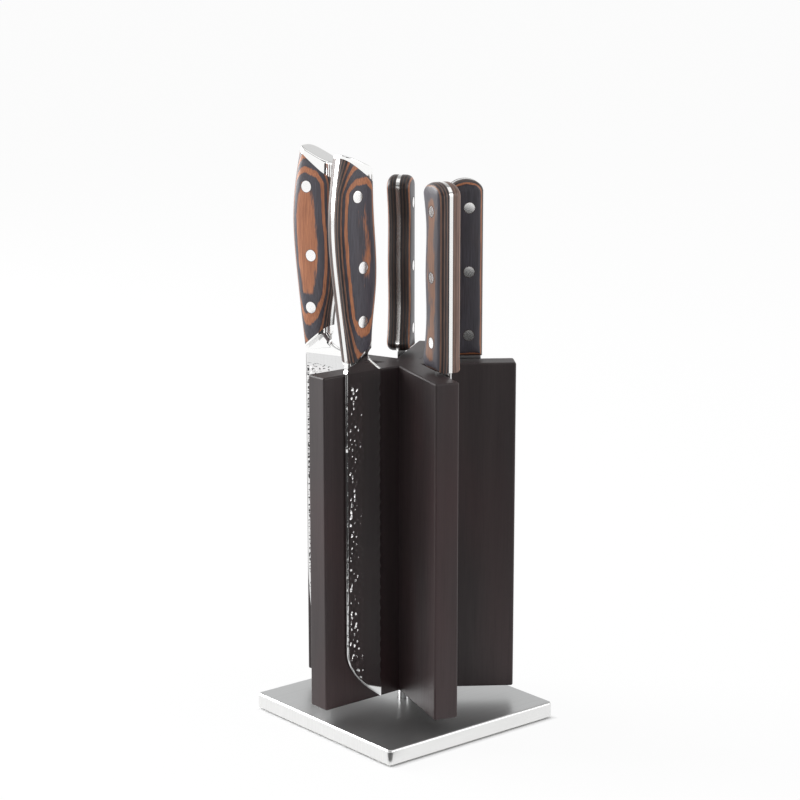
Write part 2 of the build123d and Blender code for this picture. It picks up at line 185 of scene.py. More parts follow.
class StageSettings(bpy.types.PropertyGroup):
    """Light of the studio."""
    world: number("World", "Strength of the white surroundings on the object", 0.62)
    key: number("Key", "Power of the large light on the left", 43.0)
    fill: number("Fill", "Power of the light on the right", 8.0)
    top: number("Top", "Power of the light above", 5.5)
    floor: number("Floor", "Share of the floor that shines for the camera", 0.93)


class KnifeBlockSettings(bpy.types.PropertyGroup):
    """All settings of the knife block."""
    star: PointerProperty(type=StarSettings)
    forged: PointerProperty(type=ForgedSettings)
    blade: PointerProperty(type=BladeSettings)
    small: PointerProperty(type=SmallSettings)
    colours: PointerProperty(type=ColourSettings)
    stage: PointerProperty(type=StageSettings)


# Node trees


class Nodes:
    """A node tree being written: inputs take a socket to link or a plain value."""

    def __init__(self, tree):
        self.tree = tree
        tree.nodes.clear()

    def add(self, kind, inputs=None, **settings):
        """Add a node, set its fields and its inputs by name or number, and return it."""
        node = self.tree.nodes.new(kind)
        for field, value in settings.items():
            setattr(node, field, value)
        for key, value in (inputs or {}).items():
            self.feed(node.inputs[key], value)
        return node

    def result(self, kind, inputs=None, **settings):
        """Add a node and return its first output."""
        return self.add(kind, inputs, **settings).outputs[0]

    def feed(self, socket, value):
        """Link a socket to an input, or set the input's value."""
        if isinstance(value, bpy.types.NodeSocket):
            self.tree.links.new(value, socket)
        else:
            socket.default_value = value

    def math(self, operation, *values):
        """A number worked out from one to three others."""
        kind = "ShaderNodeMath"
        return self.result(kind, dict(enumerate(values)), operation=operation)

    def scaled(self, vector, scale):
        """A vector stretched by three factors."""
        inputs = {0: vector, 1: scale}
        return self.result("ShaderNodeVectorMath", inputs, operation="MULTIPLY")

    def noise(self, vector, scale, detail=3.0, roughness=0.55):
        """A noise value over a vector."""
        inputs = {"Vector": vector, "Scale": scale, "Detail": detail, "Roughness": roughness}
        return self.result("ShaderNodeTexNoise", inputs)

    def grain(self, vector, stretch, detail, roughness=0.55):
        """A noise value stretched along the axes."""
        return self.noise(self.scaled(vector, stretch), 1.0, detail, roughness)

    def spread(self, value, low, high, new_low, new_high):
        """A value taken from one range to another, held at its ends."""
        inputs = dict(enumerate((value, low, high, new_low, new_high)))
        return self.result("ShaderNodeMapRange", inputs)

    def blend(self, share, first, second, mode="MIX"):
        """Two colours mixed by a share."""
        inputs = {0: share, 6: first, 7: second}
        return self.add("ShaderNodeMix", inputs, data_type="RGBA", blend_type=mode).outputs[2]

    def bump(self, height, strength, distance):
        """A surface direction changed by a height."""
        inputs = {"Height": height, "Strength": strength, "Distance": distance}
        return self.result("ShaderNodeBump", inputs)

    def times(self, first, *others):
        """The product of two numbers or more."""
        for other in others:
            first = self.math("MULTIPLY", first, other)
        return first

    def stored(self, name, kind):
        """A value that is stored on the mesh."""
        return self.result("GeometryNodeInputNamedAttribute", {"Name": name}, data_type=kind)

    def painted(self, mesh, chosen, finish):
        """A mesh whose chosen faces have a finish."""
        inputs = {0: mesh, "Selection": chosen, "Material": material(finish)}
        return self.result("GeometryNodeSetMaterial", inputs)


def new_material(name):
    """The nodes of a new material's empty tree."""
    made = bpy.data.materials.new(name)
    made.use_nodes = True
    return Nodes(made.node_tree)


def shade(nodes, base, rough, normal, others=None):
    """Give a material its surface shader."""
    inputs = {"Base Color": base, "Roughness": rough, "Normal": normal, **(others or {})}
    surface = nodes.result("ShaderNodeBsdfPrincipled", inputs)
    nodes.add("ShaderNodeOutputMaterial", {"Surface": surface})


def place_of(nodes):
    """The object coordinates, which are those of the whole part."""
    return nodes.add("ShaderNodeTexCoord").outputs["Object"]


def own_place(nodes):
    """The place on a knife in the knife's own frame."""
    return nodes.add("ShaderNodeAttribute", attribute_name="grain").outputs["Vector"]


def brushed(name, tone, stretch, lines, place):
    """The nodes, place, colour and normal of a new steel with fine lines along one direction."""
    nodes = new_material(name)
    spot = place(nodes)
    streak = nodes.grain(spot, stretch, 4.0, 0.7)
    share = nodes.spread(streak, 0.3, 0.7, 1.0 - lines, 1.0)
    grey = nodes.result("ShaderNodeCombineColor", {0: share, 1: share, 2: share})
    base = nodes.blend(1.0, tone, grey, "MULTIPLY")
    return nodes, spot, base, nodes.bump(streak, lines, mm(0.008))


def steel(name, tone, roughness, stretch, lines, place=own_place):
    """Brushed or polished steel with slightly uneven shine."""
    nodes, spot, base, normal = brushed(name, tone, stretch, lines, place)
    cloud = nodes.noise(spot, 60.0, 2.0)
    rough = nodes.spread(cloud, 0.3, 0.7, roughness * 0.9, roughness * 1.1)
    shade(nodes, base, rough, normal, {"Metallic": 1.0})


def plate_with_darker_top(name, tone, top_tone, level, roughness, stretch, lines):
    """A brushed plate, darker and a little duller on its top than on its sides."""
    nodes, spot, base, normal = brushed(name, tone, stretch, lines, place_of)
    height = nodes.add("ShaderNodeSeparateXYZ", {0: spot}).outputs[2]
    top = nodes.spread(height, level - mm(0.3), level - mm(0.05), 0.0, 1.0)
    base = nodes.blend(top, base, nodes.blend(1.0, base, top_tone, "MULTIPLY"))
    rough = nodes.spread(top, 0.0, 1.0, roughness, roughness * 1.15)
    shade(nodes, base, rough, normal, {"Metallic": 0.92})


def dark_wood(name, main, figured):
    """Dark stained wood with its grain upright."""
    nodes = new_material(name)
    spot = place_of(nodes)
    figure = nodes.grain(spot, (90.0, 90.0, 5.0), 4.0, 0.6)
    fibre = nodes.grain(spot, (1500.0, 1500.0, 40.0), 3.0, 0.65)
    cloud = nodes.grain(spot, (14.0, 14.0, 6.0), 2.0)
    base = nodes.blend(nodes.spread(figure, 0.35, 0.65, 0.0, 1.0), main, figured)
    base = nodes.blend(nodes.spread(cloud, 0.45, 0.7, 0.0, 0.6), base, tint("432b2c"))
    base = nodes.blend(nodes.spread(fibre, 0.5, 0.72, 0.0, 0.3), base, tint("1b1718"))
    rough = nodes.spread(fibre, 0.3, 0.7, 0.4, 0.5)
    shade(nodes, base, rough, nodes.bump(fibre, 0.2, mm(0.03)), {"Specular IOR Level": 0.46})


def layered_wood(name, brown_share, face_tones, side_tones):
    """Pressed wood in thin brown and dark layers along the tang, in other tones on faces than on sides."""
    nodes = new_material(name)
    period, soft_edge = mm(1.8), 0.06
    spot = own_place(nodes)
    layer = nodes.add("ShaderNodeSeparateXYZ", {0: spot}).outputs[1]
    waver = nodes.grain(spot, (200.0, 200.0, 45.0), 3.0, 0.6)
    jag = nodes.grain(spot, (1900.0, 1900.0, 150.0), 2.0, 0.6)
    layer = nodes.math("ADD", layer, nodes.spread(waver, 0.25, 0.75, mm(-0.16), mm(0.16)))
    layer = nodes.math("ADD", layer, nodes.spread(jag, 0.25, 0.75, mm(-0.07), mm(0.07)))
    layer = nodes.math("FRACT", nodes.math("DIVIDE", layer, period))
    rise = nodes.spread(layer, 0.0, soft_edge, 0.0, 1.0)
    fall = nodes.spread(layer, brown_share, brown_share + soft_edge, 1.0, 0.0)
    fibre = nodes.grain(spot, (2600.0, 2600.0, 60.0), 4.0, 0.7)
    fine = nodes.spread(fibre, 0.35, 0.65, 0.0, 1.0)
    cloud = nodes.grain(spot, (120.0, 120.0, 30.0), 2.0)
    depth = nodes.add("ShaderNodeAttribute", attribute_name="depth").outputs["Fac"]
    face = nodes.spread(depth, mm(5.0), mm(7.0), 0.0, 1.0)
    brown, dark = (
        nodes.blend(face, nodes.blend(fine, *side), nodes.blend(fine, *front))
        for side, front in zip(side_tones, face_tones)
    )
    dark = nodes.blend(nodes.spread(cloud, 0.5, 0.75, 0.0, 0.15), dark, tint("5c4c48"))
    base = nodes.blend(nodes.times(rise, fall), dark, brown)
    rough = nodes.spread(fibre, 0.3, 0.7, 0.3, 0.42)
    shade(nodes, base, rough, nodes.bump(fibre, 0.2, mm(0.04)))


def plain(name, tone, roughness, metallic, grain):
    """A cast or moulded finish with a fine even grain."""
    nodes = new_material(name)
    speck = nodes.noise(place_of(nodes), grain, 4.0, 0.6)
    lighter = tuple(min(1.0, c * 1.35) for c in tone)
    base = nodes.blend(nodes.spread(speck, 0.35, 0.65, 0.0, 1.0), tone, lighter)
    rough = nodes.spread(speck, 0.3, 0.7, roughness * 0.85, roughness * 1.1)
    shade(nodes, base, rough, nodes.bump(speck, 0.15, mm(0.03)), {"Metallic": metallic})


def shining_floor(name, share):
    """A white floor that keeps the object's shadow, most of it right under the plate."""
    nodes = new_material(name)
    white, dim, bright = ((level, level, level, 1.0) for level in (1.0, 0.9, 0.93))
    spot = place_of(nodes)
    tone = nodes.blend(nodes.noise(spot, 3.0), dim, bright)
    matte = nodes.result("ShaderNodeBsdfDiffuse", {"Color": tone})
    glow = nodes.result("ShaderNodeEmission", {"Color": white, "Strength": 1.0})
    x, y, _ = nodes.add("ShaderNodeSeparateXYZ", {0: spot}).outputs
    reach = nodes.math("MAXIMUM", nodes.math("ABSOLUTE", x), nodes.math("ABSOLUTE", y))
    under_plate, free = mm(64), mm(68)
    open_floor = nodes.spread(reach, under_plate, free, 0.0, share)
    # It shines only for rays that the camera sends straight or by way of polished faces
    path = nodes.add("ShaderNodeLightPath").outputs
    seen = nodes.math("MAXIMUM", path["Is Camera Ray"], path["Is Glossy Ray"])
    seen = nodes.math("MAXIMUM", seen, path["Is Transmission Ray"])
    mixed = nodes.result("ShaderNodeMixShader", {0: nodes.times(seen, open_floor), 1: matte, 2: glow})
    nodes.add("ShaderNodeOutputMaterial", {"Surface": mixed})


def tones(*codes):
    """Linear colours from sRGB hex digits."""
    return [tint(code) for code in codes]


def recipes():
    """How each finish is made: its maker and what the maker is given."""
    settings = bpy.context.scene.knife_block
    c = settings.colours
    # tan is a darker copy of the handles' brown tones, and night, smoked and soot are darker copies of the
    # charcoal, dull and coal tones. All of these paint shade on small knives that stand in less light. pale
    # is a lighter copy of dull that paints light on the sides of the front knife's outer scale.
    rich, tan = (c.brown, c.light_brown), tones("714731", "9c6d4d")
    charcoal, shaded_charcoal = (c.charcoal, c.light_charcoal), tones("2a282d", "413e47")
    dull, shaded_dull, lit_dull = tones("57413a", "7b6054"), tones("382924", "523f36"), tones("624941", "896c5e")
    coal, shaded_coal = tones("211f21", "363233"), tones("1b191b", "2b2829")
    plate_top = mm(10.4)
    return {
        "plate_finish": (plate_with_darker_top, c.plate, tint("dedfe0"), plate_top, 0.3, (2600.0, 6.0, 60.0), 0.1),
        "blade_finish": (steel, c.blade, 0.08, (900.0, 900.0, 25.0), 0.05),
        "hammered_finish": (steel, tint("ecebeb"), 0.08, (160.0, 160.0, 160.0), 0.03),
        "polished_finish": (steel, c.polish, 0.06, (160.0, 160.0, 40.0), 0.015),
        "tang_finish": (steel, tint("f4f4f3"), 0.12, (500.0, 900.0, 30.0), 0.05),
        "spindle_finish": (steel, tint("d6d6d6"), 0.12, (40.0, 40.0, 2200.0), 0.05, place_of),
        "rivet_finish": (steel, tint("fdfcfb"), 0.16, (900.0, 400.0, 900.0), 0.02),
        "fastener_finish": (steel, tint("a9a8a4"), 0.3, (600.0, 600.0, 300.0), 0.12, place_of),
        # A dark ring round each rivet head that paints the shadow where the head meets the scale.
        "glue_line": (plain, tint("2c1512"), 0.7, 0.0, 900.0),
        "wood_finish": (dark_wood, c.wood, c.figure),
        "handle_finish": (layered_wood, 0.42, (rich, charcoal), (dull, coal)),
        # Mostly brown layers, its faces darkened as painted shade and its sides lightened as painted light.
        "brown_finish": (layered_wood, 0.86, (tan, charcoal), (lit_dull, coal)),
        # The handles' layers with their brown faces darkened as painted shade.
        "tan_finish": (layered_wood, 0.42, (tan, charcoal), (dull, coal)),
        # The handles' layers with their charcoal faces and their sides darkened as painted shade.
        "smoked_finish": (layered_wood, 0.42, (rich, shaded_charcoal), (shaded_dull, shaded_coal)),
        "magnet_finish": (plain, tint("8d8e90"), 0.35, 1.0, 500.0),
        "brass_finish": (plain, tint("b58f4a"), 0.3, 1.0, 700.0),
        "insert_finish": (plain, tint("4f4a41"), 0.5, 1.0, 700.0),
        "nylon_finish": (plain, tint("d9d6cc"), 0.5, 0.0, 600.0),
        "pad_finish": (plain, tint("1c1c1d"), 0.85, 0.0, 1200.0),
        "screen_finish": (plain, tint("0c0c0d"), 0.9, 0.0, 5.0),
        "floor_finish": (shining_floor, settings.stage.floor),
    }


def material(name):
    """The finish of that name, made the first time that it is asked for."""
    if name not in bpy.data.materials:
        maker, *given = recipes()[name]
        maker(name, *given)
    return bpy.data.materials[name]


# Geometry Nodes


def new_group(name, sizes, counts=()):
    """A geometry node group with named size and count inputs, its nodes and its group input."""
    group = bpy.data.node_groups.new(name, "GeometryNodeTree")
    face = group.interface
    face.new_socket("Geometry", in_out="OUTPUT", socket_type="NodeSocketGeometry")
    face.new_socket("Geometry", in_out="INPUT", socket_type="NodeSocketGeometry")
    for label in sizes:
        face.new_socket(label, in_out="INPUT", socket_type="NodeSocketFloat")
    for label in counts:
        face.new_socket(label, in_out="INPUT", socket_type="NodeSocketInt")
    nodes = Nodes(group)
    return group, nodes, nodes.add("NodeGroupInput")


def dent_group():
    """Scattered dents, each pressed into the surface along its direction where the hammer field is set."""
    name = "hammer_dents"
    if name in bpy.data.node_groups:
        return bpy.data.node_groups[name]
    group, nodes, given = new_group(name, ("Spacing", "Radius", "Depth"), ("Seed",))
    mesh, spacing, radius, depth, seed = list(given.outputs)[:5]
    field = nodes.stored("hammer", "FLOAT")
    chosen = nodes.result("FunctionNodeCompare", {0: field, 1: 0.5}, operation="GREATER_THAN")
    place = nodes.result("GeometryNodeInputPosition")
    uneven = nodes.spread(nodes.noise(place, 420.0, 2.0), 0.3, 0.7, 0.75, 1.3)
    bowl, density = 0.0, 900000.0
    for share, strength in ((1.0, 1.0), (0.55, 0.5)):
        inputs = {"Mesh": mesh, "Selection": chosen, "Density Max": density, "Seed": seed}
        inputs["Distance Min"] = nodes.times(spacing, share)
        scatter = nodes.add("GeometryNodeDistributePointsOnFaces", inputs, distribute_method="POISSON")
        near = nodes.add("GeometryNodeProximity", {0: scatter.outputs[0]}, target_element="POINTS")
        ratio = nodes.math("DIVIDE", near.outputs["Distance"], nodes.times(radius, share, uneven))
        dent = nodes.math("SUBTRACT", 1.0, nodes.times(ratio, ratio))
        bowl = nodes.math("MAXIMUM", bowl, nodes.times(dent, strength))
    patchy = nodes.spread(nodes.noise(place, 130.0, 2.0), 0.35, 0.65, 0.65, 1.25)
    press = nodes.times(bowl, field, patchy, depth, -1.0)
    facing = nodes.result("GeometryNodeInputNormal")
    offset = nodes.result("ShaderNodeVectorMath", {0: facing, "Scale": press}, operation="SCALE")
    moved = nodes.result("GeometryNodeSetPosition", {"Geometry": mesh, "Offset": offset})
    whole = nodes.result("GeometryNodeRealizeInstances", {0: moved})
    nodes.add("NodeGroupOutput", {0: nodes.painted(whole, chosen, "hammered_finish")})
    return group


def rivet_group():
    """A domed head and a dark ring of painted shadow round it at each point, turned to the point's axis."""
    name = "rivet_heads"
    if name in bpy.data.node_groups:
        return bpy.data.node_groups[name]
    group, nodes, given = new_group(name, ("Radius", "Depth", "Dome", "Ring"))
    points, radius, depth, dome, ring_radius = list(given.outputs)[:5]
    around, ring_around = 64, 8
    inputs = {"Vertices": around, "Side Segments": 2, "Fill Segments": 6, "Radius": radius, "Depth": depth}
    head = nodes.result("GeometryNodeMeshCylinder", inputs)
    place = nodes.result("GeometryNodeInputPosition")
    x, y, z = nodes.add("ShaderNodeSeparateXYZ", {0: place}).outputs
    reach = nodes.math("ADD", nodes.times(x, x), nodes.times(y, y))
    share = nodes.math("DIVIDE", reach, nodes.times(radius, radius))
    rise = nodes.times(nodes.math("SUBTRACT", 1.0, share), dome, nodes.math("GREATER_THAN", z, 0.0))
    offset = nodes.result("ShaderNodeCombineXYZ", {2: rise})
    head = nodes.result("GeometryNodeSetPosition", {"Geometry": head, "Offset": offset})
    down = nodes.result("ShaderNodeCombineXYZ", {2: nodes.times(depth, -0.5)})
    head = nodes.result("GeometryNodeTransform", {"Geometry": head, "Translation": down})
    rim, wire = (
        nodes.result("GeometryNodeCurvePrimitiveCircle", {"Resolution": total, "Radius": size})
        for total, size in ((around, radius), (ring_around, ring_radius))
    )
    ring = nodes.result("GeometryNodeCurveToMesh", {0: rim, 1: wire})
    mark = {"Geometry": ring, "Name": "rim", "Value": True}
    ring = nodes.result("GeometryNodeStoreNamedAttribute", mark, data_type="BOOLEAN", domain="FACE")
    both = nodes.add("GeometryNodeJoinGeometry")
    for part in (ring, head):
        nodes.feed(both.inputs[0], part)
    axis = nodes.stored("axis", "FLOAT_VECTOR")
    facing = nodes.result("FunctionNodeAlignRotationToVector", {"Vector": axis}, axis="Z")
    inputs = {"Points": points, "Instance": both.outputs[0], "Rotation": facing}
    placed = nodes.result("GeometryNodeInstanceOnPoints", inputs)
    whole = nodes.result("GeometryNodeRealizeInstances", {0: placed})
    whole = nodes.painted(whole, True, "rivet_finish")
    # The ring's faces get a dark finish that paints the shadow round each head.
    nodes.add("NodeGroupOutput", {0: nodes.painted(whole, nodes.stored("rim", "BOOLEAN"), "glue_line")})
    return group


def apply_group(obj, group, **values):
    """Run a node group on an object with named inputs and keep the result as its plain mesh."""
    modifier = obj.modifiers.new(group.name, "NODES")
    modifier.node_group = group
    for item in group.interface.items_tree:
        if item.in_out == "INPUT" and item.name in values:
            modifier[item.identifier] = values[item.name]
    obj.update_tag()
    bpy.context.view_layer.update()
    made = bpy.data.meshes.new_from_object(obj.evaluated_get(bpy.context.evaluated_depsgraph_get()))
    obj.modifiers.remove(modifier)
    old = obj.data
    obj.data = made
    bpy.data.meshes.remove(old)
    made.name = obj.name


# Meshes


class Shell:
    """Points and four-sided faces of a piece in its own frame, with a finish number for each face."""

    def __init__(self):
        self.points = np.zeros((0, 3))
        self.faces = np.zeros((0, 4), int)
        self.finishes = np.zeros(0, int)
        self.hammer = np.zeros(0)

    def grid(self, points, closed=False, finish=0, hammer=None):
        """Add rows and columns of points with faces between them, and return the points' numbers."""
        numbers = len(self.points) + np.arange(points.shape[0] * points.shape[1]).reshape(points.shape[:2])
        self.points = np.concatenate([self.points, points.reshape(-1, 3)])
        field = np.zeros(numbers.size) if hammer is None else hammer.reshape(-1)
        self.hammer = np.concatenate([self.hammer, field])
        self.join(numbers, closed, finish)
        return numbers

    def join(self, numbers, closed=False, finish=0):
        """Add the faces between rows and columns of points that are there."""
        if closed:
            numbers = np.hstack([numbers, numbers[:, :1]])
        corners = (numbers[:-1, :-1], numbers[:-1, 1:], numbers[1:, 1:], numbers[1:, :-1])
        quads = np.stack(corners, -1).reshape(-1, 4)
        self.faces = np.concatenate([self.faces, quads])
        self.finishes = np.concatenate([self.finishes, np.full(len(quads), finish)])

    def strip(self, first, second, finish=0):
        """Add the faces between two lines of points."""
        self.join(np.stack([first, second]), finish=finish)

    def fill(self, line, finish=0):
        """Add the faces inside a closed line of points."""
        half = len(line) // 2
        self.strip(line[:half], line[::-1][:half], finish)

    def slab(self, x, depth, z, finish, hammer=None):
        """Add two facing grids, half the thickness from the blade's plane, joined round their edges."""
        front, back = (
            self.grid(np.stack([x, side * depth, z], -1), finish=finish, hammer=hammer) for side in (1, -1)
        )
        for cut in (np.s_[0, :], np.s_[-1, :], np.s_[:, 0], np.s_[:, -1]):
            self.strip(front[cut], back[cut], finish)


def link(name, data):
    """A new object of a mesh, a light or a camera in the scene."""
    obj = bpy.data.objects.new(name, data)
    bpy.context.scene.collection.objects.link(obj)
    return obj


def smooth(mesh, degrees):
    """Shade a mesh smooth but for edges sharper than an angle."""
    mesh.shade_smooth()
    mesh.set_sharp_from_angle(angle=math.radians(degrees))


def build(name, shell, materials):
    """An object of a shell, welded, turned outwards and smooth but for its sharp edges."""
    weld, sharp = mm(0.002), 35
    mesh = bpy.data.meshes.new(name)
    mesh.from_pydata(shell.points, [], shell.faces.tolist())
    mesh.polygons.foreach_set("material_index", shell.finishes)
    mesh.attributes.new("hammer", "FLOAT", "POINT").data.foreach_set("value", shell.hammer)
    work = bmesh.new()
    work.from_mesh(mesh)
    bmesh.ops.remove_doubles(work, verts=work.verts, dist=weld)
    bmesh.ops.recalc_face_normals(work, faces=work.faces)
    work.to_mesh(mesh)
    work.free()
    smooth(mesh, sharp)
    for finish in materials:
        mesh.materials.append(material(finish))
    return link(name, mesh)


def bent_layers(along, across, low):
    """How far a contoured handle's layers lie from flat: leaning along and across it, bent at its ends."""
    level, middle, high = mm(35), mm(6), mm(106.5)
    foot_bend, top_bend = 0.07, 0.17

    def bend(points):
        x, z = points[:, 0], points[:, 2]
        ends = top_bend * np.maximum(z - high, 0) + foot_bend * np.maximum(low - z, 0)
        return along * (z - level) + ends - across * (x + middle)

    return bend


def bowed_ends(points):
    """How far the layers of a small handle lie from flat, bowed at its ends."""
    z, low, high = points[:, 2], mm(12), mm(92)
    foot_bow, top_bow = 2.0, 2.2
    return top_bow * np.maximum(z - high, 0) ** 2 + foot_bow * np.maximum(low - z, 0) ** 2


def settle(obj, spot, body, nodes, phase=0.0, bow=None):
    """Keep the knife-frame place of each point, move the mesh to its spot and hand the piece over."""
    mesh = obj.data
    points = np.zeros(len(mesh.vertices) * 3)
    mesh.vertices.foreach_get("co", points)
    points = points.reshape(-1, 3)
    points[:, 1] = np.abs(points[:, 1])
    depth = mesh.attributes.new("depth", "FLOAT", "POINT")
    depth.data.foreach_set("value", points[:, 1].copy())
    points[:, 1] += phase - (bow(points) if bow else 0.0)
    kept = mesh.attributes.new("grain", "FLOAT_VECTOR", "POINT")
    kept.data.foreach_set("vector", points.ravel())
    mesh.transform(spot)
    mesh.update()
    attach(obj, body)
    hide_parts(*nodes)


def knife_spot(settings, wing, place, rise, width, stock):
    """Where a knife stands: its blade's flank along a wing, its spine at a place on it."""
    star = settings.star
    lean = math.atan((stock - settings.blade.edge) / 2 / width)
    stand = star.half_thickness + star.gap + stock / 2 * math.cos(lean)
    around = Matrix.Rotation(star.first_wing + wing * star.wing_step, 4, "Z")
    along = Matrix.Translation((place, stand, star.top + rise))
    return around @ along @ Matrix.Rotation(lean, 4, "Z")


def smooth_curve(stations, values):
    """The natural cubic curve through values at stations, as a function of place."""
    x, y = np.array(stations, float), np.array(values, float)
    gap, size = np.diff(x), len(x)
    matrix, right = np.eye(size), np.zeros(size)
    for i in range(1, size - 1):
        matrix[i, i - 1:i + 2] = gap[i - 1], 2 * (gap[i - 1] + gap[i]), gap[i]
        right[i] = 6 * ((y[i + 1] - y[i]) / gap[i] - (y[i] - y[i - 1]) / gap[i - 1])
    bend = np.linalg.solve(matrix, right)

    def at(place):
        i = np.clip(np.searchsorted(x, place) - 1, 0, size - 2)
        a, b, h = x[i + 1] - place, place - x[i], gap[i]
        curve = (bend[i] * a ** 3 + bend[i + 1] * b ** 3) / (6 * h)
        return curve + (y[i] / h - bend[i] * h / 6) * a + (y[i + 1] / h - bend[i + 1] * h / 6) * b

    return at


def hermite(start, end, leave, arrive, share):
    """Points on the cubic between two points that leaves and arrives along two directions."""
    start, end, leave, arrive = (np.array(v, float) for v in (start, end, leave, arrive))
    t = np.asarray(share, float)[..., None]
    reach = np.linalg.norm(end - start)
    leave, arrive = (v / np.linalg.norm(v) * reach for v in (leave, arrive))
    ends = (2 * t ** 3 - 3 * t ** 2 + 1) * start + (3 * t ** 2 - 2 * t ** 3) * end
    return ends + (t ** 3 - 2 * t ** 2 + t) * leave + (t ** 3 - t ** 2) * arrive


def eased(total):
    """Shares from 0 to 1, closer together at both ends."""
    return (1 - np.cos(np.linspace(0, math.pi, total))) / 2


# Contoured handles


def slanted(height, slant):
    """Height of a slanted cut as a function of place."""
    return lambda x: height + x * math.tan(slant)


class HandleForm:
    """The surface of a contoured handle, an oval whose sizes follow smooth curves along its height."""

    def __init__(self, s):
        rows = (s.lifts, s.widths, s.depths)
        self.lift, self.width, self.thickness = (smooth_curve(s.heights[:], row[:]) for row in rows)
        self.fullness = s.fullness
        self.seam = slanted(s.seam_height, -s.seam_slant)
        self.seat = slanted(s.seat_height, s.seat_slant)
        self.top = slanted(s.cap_height, s.cap_slant)

    def middle(self, height):
        """Place of the oval's middle."""
        return self.lift(height) - self.width(height) / 2

    def point(self, angle, height, inset=0.0):
        """Place outwards and through the handle, at an angle about the oval."""
        c, s = np.cos(angle), np.sin(angle)
        power = 2 / self.fullness
        across = np.sign(c) * np.abs(c) ** power * (self.width(height) / 2 - inset)
        through = np.sign(s) * np.abs(s) ** power * (self.thickness(height) / 2 - inset)
        return self.middle(height) + across, through

    def flank(self, height, half):
        """Angle at which the oval is this far from the blade's plane."""
        return np.arcsin((2 * half / self.thickness(height)) ** (self.fullness / 2))

    def depth(self, x, height):
        """Half thickness of the handle at a place."""
        share = np.clip(np.abs(x - self.middle(height)) / (self.width(height) / 2), 0, 1)
        return self.thickness(height) / 2 * (1 - share ** self.fullness) ** (1 / self.fullness)

    def band(self, shares, angle_of, low, high, inset):
        """Rows of points at shares between two slanted ends, at angles that may change with height."""
        rows = shares[:, None]
        height = low(0) + (high(0) - low(0)) * rows
        for _ in range(12):
            x, y = self.point(angle_of(height), height, inset[:, None])
            height = low(x) + (high(x) - low(x)) * rows
        return np.stack([x, y, height], -1)


def soft_ends(rows, run):
    """Shares along a piece and insets that ease its two end edges."""
    start = np.array([0, 0.4 * run, run])
    shares = np.concatenate([start, np.linspace(run, 1 - run, rows)[1:-1], 1 - start[::-1]])
    inset = np.zeros(len(shares))
    inset[[0, -1]] = mm(0.18)
    inset[[1, -2]] = mm(0.05)
    return shares, inset


def scale_shell(s, side):
    """One scale of a contoured handle, flat against the tang."""
    form = HandleForm(s)
    shares, inset = soft_ends(rows=100, run=0.003)
    across = np.linspace(0, 1, 48)[None, :]

    def angle_of(height):
        start = form.flank(height, s.tang / 2)
        return start + across * (math.pi - 2 * start)

    points = form.band(shares, angle_of, form.seam, form.seat, inset)
    points[..., 1] *= side
    shell = Shell()
    numbers = shell.grid(points)
    shell.strip(numbers[:, 0], numbers[:, -1])
    for row in (0, -1):
        shell.fill(numbers[row])
    return shell


def add_tang(shell, s, finish):
    """The tang between the scales, from inside the bolster to inside the cap."""
    form = HandleForm(s)
    rows, columns, inset, overlap = 90, 7, mm(0.04), mm(1)
    turns = np.tile(np.linspace(-1, 1, columns), 2)[None, :]
    base = np.repeat((0.0, math.pi), columns)[None, :]
    angle_of = lambda height: base + turns * form.flank(height, s.tang / 2)
    low, high = (lambda x: form.seam(x) - overlap), (lambda x: form.seat(x) + overlap)
    points = form.band(np.linspace(0, 1, rows), angle_of, low, high, np.full(rows, inset))
    numbers = shell.grid(points, closed=True, finish=finish)
    for row in (0, -1):
        shell.fill(numbers[row], finish)


def soft_least(first, second, reach):
    """The lesser of two fields, rounded where they cross."""
    share = np.clip(0.5 + 0.5 * (second - first) / reach, 0, 1)
    return second + (first - second) * share - reach * share * (1 - share)


def swell_of(s, seam, height):
    """Half thickness of the bolster's hollow wedge at a height on the handle, below a seam's height."""
    full, thin, least_rise = s.depths[SWELL] / 2, s.tang / 2, mm(0.2)
    t = np.linspace(0, 1, 60)
    u = 1 - t
    level = 3 * u * u * t * s.hollow + 3 * u * t * t * (1 + s.hollow) / 2 + t ** 3
    depth = thin * (u ** 3 + 3 * u * u * t) + (thin + full) / 2 * 3 * u * t * t + full * t ** 3
    rise = np.maximum(seam - s.land - s.foot, least_rise)
    return np.interp((height - s.foot) / rise, level, depth)


def drawn_side(line):
    """The side that a rising line of points draws, as a function of height."""
    return lambda z: np.interp(z, line[:, 1], line[:, 0])


def root_sides(s, width, heel_slope):
    """Spine and belly of the flat root as functions of height."""
    share = np.linspace(0, 1, 120)
    neck = s.lifts[NECK] - s.step
    heel = (math.cos(heel_slope), math.sin(heel_slope))
    belly_end = (neck - s.widths[NECK] + s.root_inset, s.root_belly)
    belly = hermite((-width, 0), belly_end, heel, (0, 1), share)
    spine = hermite((0, 0), (neck - s.root_inset, s.root_spine), (0, 1), (0, 1), share)
    return drawn_side(spine), drawn_side(belly)


def handle_place(s, drop, tilt, x, z):
    """A place beside the blade in the handle's own frame."""
    across, up = x + s.step, z + drop
    return across * math.cos(tilt) - up * math.sin(tilt), across * math.sin(tilt) + up * math.cos(tilt)


def seam_end(s, drop, tilt, side_of):
    """Where one side of the handle meets the bolster's seam, beside the blade."""
    seam, z = slanted(s.seam_height, -s.seam_slant), s.seam_height
    for _ in range(20):
        z = seam(float(side_of(np.array(z))))
    x = float(side_of(np.array(z)))
    return x * math.cos(tilt) + z * math.sin(tilt) - s.step, z * math.cos(tilt) - x * math.sin(tilt) - drop


